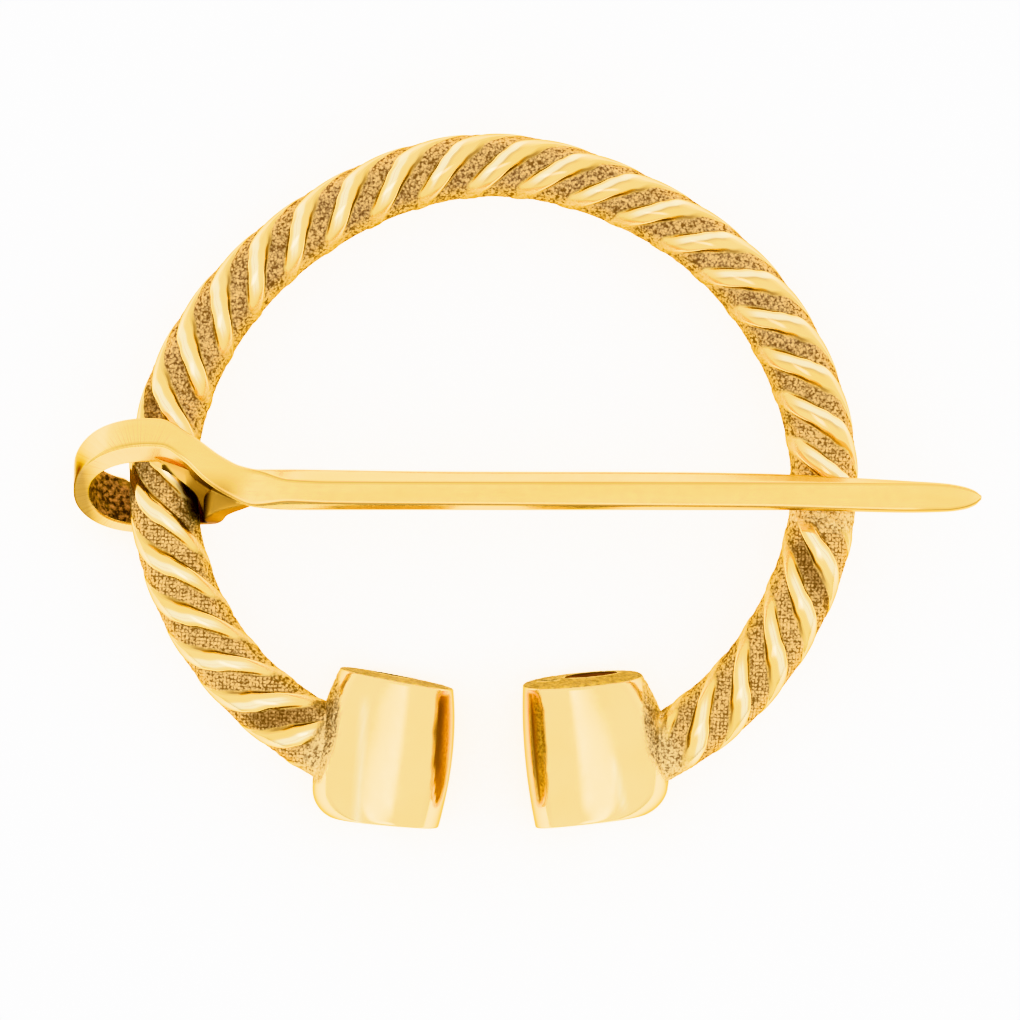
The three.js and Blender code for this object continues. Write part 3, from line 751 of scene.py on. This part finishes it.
    # painted shade: the bend and web under the neck are painted near black where they face the ring and lie in its
    # shade
    toward = (N[:, 0] < -0.3) & (side > 8.5) & (side < 9.5)
    painted_gap_shade = np.where(toward, 1.0, 0.0) * smooth(2.9, 2.2, P[:, 2])
    beside = (P[:, 0] + 18.0) * 0.78 + (P[:, 1] + 1.6) * 0.625
    painted_gap_shade = np.maximum(painted_gap_shade, smooth(0.06, -0.14, beside) * (P[:, 0] > -20.4) * (P[:, 2] < 3.3) * (side > 4.5)
                      * smooth(-2.2, -1.9, P[:, 1]))
    write_attr(main, "painted_gap_shade", painted_gap_shade)
    write_attr(main, "filed", lerp(0.10, 0.50, smooth(3.0, 2.2, P[:, 1])) * (kindv < 0.1) * (side < 8.5) * (1 - rough) * smooth(-18.8, -20.6, P[:, 0]))
    write_attr(main, "cast", (side > 8.5).astype(float))
    # painted shade: a darker orange on the tail, the web and the neck's lower side, where they lie in shade
    write_attr(main, "warm_painted_shade", np.clip(np.where(side > 9.5, smooth(-19.3, -17.6, P[:, 0]), np.where(side > 8.5, 1.0, 0.0)) + smooth(-14.6, -16.8, P[:, 0]) * smooth(0.9, -0.9, P[:, 1])
                                     * (P[:, 0] > -19), 0, 1))
    # painted shade: the loop's lower left side is painted darker, fading out where its faces turn steep
    shade = smooth(-23.6, -25.4, P[:, 0]) * smooth(2.2, 0.6, P[:, 1])
    write_attr(main, "shade", shade * (1 - rough) * smooth(0.02, 0.40, N[:, 2]))
    return main


# ------------------------------------------------------------------ materials
class Nodes:
    """Short hand for wiring a node tree."""

    def __init__(self, tree):
        self.t = tree

    def add(self, kind, **props):
        n = self.t.nodes.new(kind)
        for k, v in props.items():
            setattr(n, k, v)
        return n

    def link(self, a, b):
        self.t.links.new(a, b)

    def put(self, sock, val):
        if isinstance(val, bpy.types.NodeSocket):
            self.link(val, sock)
        else:
            sock.default_value = val

    def attr(self, name):
        n = self.add("ShaderNodeAttribute", attribute_name=name)
        return n.outputs["Fac"]

    def math(self, op, a, b=0.0, clamp=False):
        n = self.add("ShaderNodeMath", operation=op, use_clamp=clamp)
        self.put(n.inputs[0], a)
        if len(n.inputs) > 1:
            self.put(n.inputs[1], b)
        return n.outputs[0]

    def mix(self, fac, a, b, mode="MIX"):
        n = self.add("ShaderNodeMix", data_type="RGBA", blend_type=mode)
        self.put(n.inputs["Factor"], fac)
        for s, v in ((n.inputs[6], a), (n.inputs[7], b)):
            if isinstance(v, bpy.types.NodeSocket):
                self.link(v, s)
            else:
                s.default_value = (*v, 1.0)
        return n.outputs[2]

    def range(self, v, a, b, c, d):
        n = self.add("ShaderNodeMapRange")
        n.clamp = True
        self.put(n.inputs[0], v)
        for i, x in enumerate((a, b, c, d)):
            n.inputs[i + 1].default_value = x
        return n.outputs[0]

    def noise(self, coord, scale, detail=2.0, rough=0.5, distort=0.0):
        n = self.add("ShaderNodeTexNoise")
        self.link(coord, n.inputs["Vector"])
        n.inputs["Scale"].default_value = scale
        n.inputs["Detail"].default_value = detail
        n.inputs["Roughness"].default_value = rough
        n.inputs["Distortion"].default_value = distort
        return n.outputs["Fac"]

    def scaled(self, coord, x, y, z, rot=(0, 0, 0)):
        n = self.add("ShaderNodeMapping")
        self.link(coord, n.inputs["Vector"])
        n.inputs["Scale"].default_value = (x, y, z)
        n.inputs["Rotation"].default_value = rot
        return n.outputs[0]

    def bump(self, height, strength, distance, normal=None):
        n = self.add("ShaderNodeBump")
        n.inputs["Distance"].default_value = distance
        self.put(n.inputs["Strength"], strength)
        self.link(height, n.inputs["Height"])
        if normal is not None:
            self.link(normal, n.inputs["Normal"])
        return n.outputs[0]


GOLD = (0.940, 0.655, 0.180)
GOLD_PALE = (0.955, 0.690, 0.235)
# pale colour for the painted highlights on the rib crests and the terminal fronts
PAINTED_HIGHLIGHT = (0.980, 0.865, 0.590)
EDGE = (0.340, 0.275, 0.105)            # tint at a glancing angle
EDGE_LENS = (0.800, 0.560, 0.240)
EDGE_PIN = (0.640, 0.520, 0.220)
EDGE_SHADE = (0.230, 0.170, 0.085)


def new_material(name):
    m = bpy.data.materials.new(name)
    m.use_nodes = True
    m.node_tree.nodes.clear()
    N = Nodes(m.node_tree)
    out = N.add("ShaderNodeOutputMaterial")
    sh = N.add("ShaderNodeBsdfPrincipled")
    N.link(sh.outputs[0], out.inputs[0])
    sh.inputs["Metallic"].default_value = 1.0
    return m, N, sh


def ring_material():
    m, N, sh = new_material("ring_metal")
    co = N.add("ShaderNodeTexCoord").outputs["Object"]
    ground, lower, inner = N.attr("ground"), N.attr("lower"), N.attr("inner")
    deep, lens, pits, wall = N.attr("deep"), N.attr("lens"), N.attr("pits"), N.attr("wall")
    plain, painted_stripe_highlight = N.attr("plain"), N.attr("painted_stripe_highlight")

    # polished metal, a little uneven in tone
    tone = N.noise(co, 260, 3, 0.55)
    polished = N.mix(N.range(tone, 0.35, 0.65, 0, 1), GOLD, GOLD_PALE)

    # granular ground: bright grains and dark pits over a slow drift of patina
    fine = N.noise(co, 5400, 4, 0.70)
    cell = N.add("ShaderNodeTexVoronoi")
    cell.feature = "F1"
    N.link(co, cell.inputs["Vector"])
    cell.inputs["Scale"].default_value = 6400
    cells = N.math("SUBTRACT", 1.0, N.math("MULTIPLY", cell.outputs["Distance"], 1.3))
    # a fine square hatch on the lower ring
    hatches = []
    for way in ("X", "Y"):
        h = N.add("ShaderNodeTexWave", wave_type="BANDS", bands_direction=way)
        N.link(N.scaled(co, 1, 1, 1, (0, 0, 0.05)), h.inputs["Vector"])
        h.inputs["Scale"].default_value = 1400
        h.inputs["Distortion"].default_value = 2.6
        h.inputs["Detail"].default_value = 2.0
        h.inputs["Detail Scale"].default_value = 2.0
        hatches.append(h.outputs["Fac"])
    hatch = N.range(N.math("MINIMUM", hatches[0], hatches[1]), 0.02, 0.55, 0, 1)
    inside = N.math("SUBTRACT", 1.0, inner)
    grains = N.math("ADD", N.math("MULTIPLY", fine, 0.74), N.math("MULTIPLY", cells, 0.26))
    woven = N.math("ADD", N.math("MULTIPLY", grains, 0.85), N.math("MULTIPLY", hatch, 0.13))
    low = N.math("MULTIPLY", N.math("MULTIPLY", lower, inside), N.math("SUBTRACT", 1.0, plain))
    speck = N.math("ADD", grains, N.math("MULTIPLY", N.math("SUBTRACT", woven, grains), low))
    speck = N.math("SUBTRACT", speck, N.math("MULTIPLY", N.math("SUBTRACT", pits, 0.5), 0.22))
    amount = N.range(speck, 0.34, 0.64, 0, 1)
    drift = N.noise(co, 420, 2, 0.5)
    dark_top = N.mix(N.range(drift, 0.4, 0.62, 0, 1), (0.150, 0.070, 0.020), (0.140, 0.068, 0.028))
    dark_low = (0.180, 0.088, 0.022)
    light_top = (0.690, 0.455, 0.180)
    light_low = (0.830, 0.560, 0.225)
    dark = N.mix(lower, dark_top, dark_low)
    light = N.mix(lower, light_top, light_low)
    ground_col = N.mix(amount, dark, light)
    ground_col = N.mix(plain, ground_col, N.mix(amount, (0.225, 0.130, 0.045), (0.880, 0.665, 0.320)))
    edge_col = N.mix(amount, (0.130, 0.062, 0.012), (0.660, 0.440, 0.150))
    ground_col = N.mix(N.math("MULTIPLY", inner, N.math("SUBTRACT", 1.0, plain)), ground_col, edge_col)
    brown = N.attr("brown")
    ground_col = N.mix(N.math("MULTIPLY", brown, 0.85), ground_col, (0.420, 0.330, 0.260), "MULTIPLY")
    painted_crest_highlight, painted_dark_line = N.attr("painted_crest_highlight"), N.attr("painted_dark_line")
    polished = N.mix(N.math("MULTIPLY", N.attr("term"), 0.45), polished, (0.965, 0.760, 0.370))
    # painted highlight: pale stripes on the terminal fronts
    polished = N.mix(N.math("MULTIPLY", painted_stripe_highlight, 0.60), polished, PAINTED_HIGHLIGHT)
    # painted highlight: pale bands along the rib crests
    polished = N.mix(N.math("MULTIPLY", painted_crest_highlight, 0.90), polished, PAINTED_HIGHLIGHT)
    # painted reflection: thin dark lines along the rib tops
    polished = N.mix(N.math("MULTIPLY", painted_dark_line, 0.85), polished, (0.360, 0.215, 0.075))
    col = N.mix(ground, polished, ground_col)
    # painted shade down the rib walls
    col = N.mix(N.math("MULTIPLY", wall, 0.85), col, (0.220, 0.100, 0.016))
    end = N.attr("end")
    end_col = N.mix(amount, (0.110, 0.055, 0.012), (0.430, 0.290, 0.110))
    col = N.mix(N.math("MULTIPLY", end, 0.92), col, end_col)
    # hollows that face the gap, painted in deep orange-brown streaks as a reflection of the other terminal and
    # gold towards the front; and the bores
    streak = N.noise(N.scaled(co, 900, 160, 160), 1.0, 3, 0.6)
    across = N.attr("across")
    lens_col = N.mix(N.range(streak, 0.38, 0.62, 0, 1), (0.110, 0.040, 0.003), (0.200, 0.088, 0.008))
    gold_rough = N.mix(N.range(fine, 0.38, 0.62, 0, 1), (0.200, 0.100, 0.010), (0.600, 0.360, 0.055))
    lens_col = N.mix(N.range(across, 0.22, 0.42, 0, 0.9), lens_col, gold_rough)
    col = N.mix(lens, col, lens_col)
    col = N.mix(deep, col, (0.240, 0.070, 0.018))
    # painted shadow beside the neck of the pin
    col = N.mix(N.math("MULTIPLY", N.attr("painted_neck_shadow"), 0.93), col, (0.060, 0.022, 0.008))
    N.link(col, sh.inputs["Base Color"])
    N.link(N.mix(lens, EDGE, EDGE_LENS), sh.inputs["Specular Tint"])

    rough = N.range(N.noise(co, 900, 3, 0.6), 0.3, 0.7, 0.10, 0.20)
    r = N.add("ShaderNodeMix", data_type="FLOAT")
    N.put(r.inputs[0], ground)
    N.put(r.inputs[2], rough)
    r.inputs[3].default_value = 0.44
    r2 = N.add("ShaderNodeMix", data_type="FLOAT")
    N.put(r2.inputs[0], deep)
    N.put(r2.inputs[2], r.outputs[0])
    r2.inputs[3].default_value = 0.55
    r3 = N.add("ShaderNodeMix", data_type="FLOAT")
    N.put(r3.inputs[0], N.math("MAXIMUM", end, N.math("MULTIPLY", lens, 0.6)))
    N.put(r3.inputs[2], r2.outputs[0])
    r3.inputs[3].default_value = 0.50
    N.link(r3.outputs[0], sh.inputs["Roughness"])

    height = N.math("MULTIPLY", speck, N.math("MAXIMUM", ground, end))
    n1 = N.bump(height, 1.0, 0.00008)
    file_marks = N.noise(N.scaled(co, 2600, 300, 300), 1.0, 2, 0.5)
    n2 = N.bump(N.math("MULTIPLY", file_marks, N.math("SUBTRACT", 1.0, ground)), 0.10, 0.00002, n1)
    N.link(n2, sh.inputs["Normal"])
    return m


def pin_material():
    m, N, sh = new_material("pin_metal")
    co = N.add("ShaderNodeTexCoord").outputs["Object"]
    rough_in, pits = N.attr("rough"), N.attr("pits")
    tone = N.noise(N.scaled(co, 120, 900, 900), 1.0, 4, 0.6)
    gold = N.mix(N.range(tone, 0.3, 0.7, 0, 1), (0.930, 0.640, 0.165), (0.945, 0.680, 0.205))
    # rough cast inside of the loop
    fine = N.noise(co, 2900, 4, 0.7)
    blotch = N.noise(co, 900, 2, 0.6)
    inside = N.mix(N.range(fine, 0.44, 0.62, 0, 1), (0.014, 0.006, 0.004), (0.290, 0.140, 0.050))
    inside = N.mix(N.range(blotch, 0.56, 0.72, 0, 0.7), inside, (0.300, 0.150, 0.022))
    # short file strokes across the strip of the loop
    c = (LOOP_CENTRE + SHIFT) * MM
    about = N.add("ShaderNodeMapping")
    N.link(co, about.inputs["Vector"])
    about.inputs["Location"].default_value = (-c[0], -c[1], 0)
    turn = N.add("ShaderNodeTexGradient", gradient_type="RADIAL")
    N.link(about.outputs[0], turn.inputs["Vector"])
    strokes = N.add("ShaderNodeTexNoise", noise_dimensions="1D")
    N.link(N.math("MULTIPLY", turn.outputs["Fac"], 210), strokes.inputs["W"])
    strokes.inputs["Scale"].default_value = 1.0
    strokes.inputs["Detail"].default_value = 3.0
    filed = N.math("MULTIPLY", N.range(strokes.outputs["Fac"], 0.46, 0.66, 0, 1), N.attr("filed"))
    gold = N.mix(filed, gold, (0.560, 0.350, 0.080))
    painted_dark_line, painted_gap_shade = N.attr("painted_dark_line"), N.attr("painted_gap_shade")
    # painted shade: a dark line along the creases
    gold = N.mix(N.math("MULTIPLY", painted_dark_line, 0.85), gold, (0.300, 0.160, 0.030))
    warm_painted_shade, shade = N.attr("warm_painted_shade"), N.attr("shade")
    # painted shade: darker orange on the tail, the web and the neck's lower side
    gold = N.mix(N.math("MULTIPLY", warm_painted_shade, 0.90), gold, (0.310, 0.155, 0.022))
    # painted shade: the loop's lower left side darker
    gold = N.mix(N.math("MULTIPLY", shade, 0.91), gold, (0.120, 0.072, 0.030))
    # painted shade: near black where the pin faces the ring
    gold = N.mix(painted_gap_shade, gold, (0.050, 0.022, 0.006))
    col = N.mix(rough_in, gold, inside)
    N.link(col, sh.inputs["Base Color"])
    # the glancing tint is darkened too where shade is painted
    N.link(N.mix(N.math("MAXIMUM", shade, warm_painted_shade), EDGE_PIN, EDGE_SHADE), sh.inputs["Specular Tint"])
    satin = N.range(N.noise(co, 1500, 3, 0.6), 0.3, 0.7, 0.16, 0.22)
    r = N.add("ShaderNodeMix", data_type="FLOAT")
    N.put(r.inputs[0], rough_in)
    N.put(r.inputs[2], satin)
    r.inputs[3].default_value = 0.5
    r2 = N.add("ShaderNodeMix", data_type="FLOAT")
    N.put(r2.inputs[0], N.attr("cast"))
    N.put(r2.inputs[2], r.outputs[0])
    r2.inputs[3].default_value = 0.46
    N.link(r2.outputs[0], sh.inputs["Roughness"])
    h = N.math("MULTIPLY", fine, rough_in)
    n1 = N.bump(h, 0.8, 0.0001)
    marks = N.noise(N.scaled(co, 300, 4200, 4200), 1.0, 3, 0.6)
    n2 = N.bump(marks, 0.07, 0.00002, n1)
    N.link(n2, sh.inputs["Normal"])
    return m


def floor_material():
    m, N, sh = new_material("floor")
    sh.inputs["Metallic"].default_value = 0.0
    sh.inputs["Specular Tint"].default_value = (1, 1, 1, 1)
    sh.inputs["Base Color"].default_value = (0.72, 0.72, 0.73, 1)
    sh.inputs["Roughness"].default_value = 0.9
    sh.inputs["Specular IOR Level"].default_value = 0.1
    sh.inputs["Emission Color"].default_value = (1, 1, 1, 1)
    sh.inputs["Emission Strength"].default_value = 3.0
    return m


def finish_mesh(ob, mat, angle):
    me = ob.data
    me.materials.clear()
    me.materials.append(mat)
    me.shade_smooth()
    me.set_sharp_from_angle(angle=math.radians(angle))


# ---------------------------------------------------------------------- build
ring = build_ring()
finish_mesh(ring, ring_material(), 50)
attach(ring, "ring")
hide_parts("ring")

pin = build_pin()
finish_mesh(pin, pin_material(), 40)
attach(pin, "pin")
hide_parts("pin")

print("TRIS", [(o.name, sum(len(p.vertices) - 2 for p in o.data.polygons)) for o in (ring, pin)])

# ------------------------------------------------------- floor, light, camera
fl = bpy.data.meshes.new("floor")
S = 1.5
fl.from_pydata([(-S, -S, 0), (S, -S, 0), (S, S, 0), (-S, S, 0)], [], [(0, 1, 2, 3)])
floor = bpy.data.objects.new("floor", fl)
bpy.context.scene.collection.objects.link(floor)
fl.materials.append(floor_material())

world = bpy.data.worlds.new("studio")
bpy.context.scene.world = world
world.use_nodes = True
W = Nodes(world.node_tree)
world.node_tree.nodes.clear()
out = W.add("ShaderNodeOutputWorld")
bg = W.add("ShaderNodeBackground")
W.link(bg.outputs[0], out.inputs[0])
tc = W.add("ShaderNodeTexCoord")
sep = W.add("ShaderNodeSeparateXYZ")
W.link(tc.outputs["Generated"], sep.inputs[0])
# a light tent: even walls, brighter at the back, and one soft box overhead
def degrees_off(i):
    return W.math("MULTIPLY", W.math("ARCTAN2", sep.outputs[i], sep.outputs[2]), 180 / math.pi)


def gate(value, low, high, soft):
    rise = W.range(value, low - soft, low + soft, 0, 1)
    fall = W.range(value, high - soft, high + soft, 1, 0)
    return W.math("MULTIPLY", rise, fall)


box = W.math("MULTIPLY", gate(degrees_off(0), -13, 13, 3.5), gate(degrees_off(1), -18, -3.4, 1.7))
low = W.range(sep.outputs[2], 0.34, 0.10, 0, 1)
wall = W.math("ADD", 1.70, W.math("MULTIPLY", W.math("MULTIPLY", sep.outputs[1], low), 1.3))
zenith = W.math("MULTIPLY", W.math("ARCCOSINE", sep.outputs[2]), 180 / math.pi)
dim = W.range(zenith, 8, 24, 0, 1)
wall = W.math("MULTIPLY", wall, W.math("ADD", 0.92, W.math("MULTIPLY", dim, 0.08)))
W.link(W.math("ADD", wall, W.math("MULTIPLY", box, 5.0)), bg.inputs[1])
bg.inputs[0].default_value = (1.0, 1.0, 1.0, 1)

cam = bpy.data.cameras.new("camera")
cam_ob = bpy.data.objects.new("camera", cam)
bpy.context.scene.collection.objects.link(cam_ob)
lo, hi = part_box("ring")
VIEW = np.array([0.93 + SHIFT[0], -1.767 + SHIFT[1], 248.0 + SHIFT[2]])
cam_ob.location = VIEW * MM
cam_ob.rotation_euler = (0, 0, 0)
cam.sensor_width = 36.0
cam.angle = 2 * math.atan(510 / 4000)
cam.clip_start, cam.clip_end = 0.01, 10
bpy.context.scene.camera = cam_ob

bpy.context.scene.view_settings.view_transform = "Khronos PBR Neutral"
bpy.context.scene.view_settings.look = "None"
bpy.context.scene.view_settings.exposure = 0.0
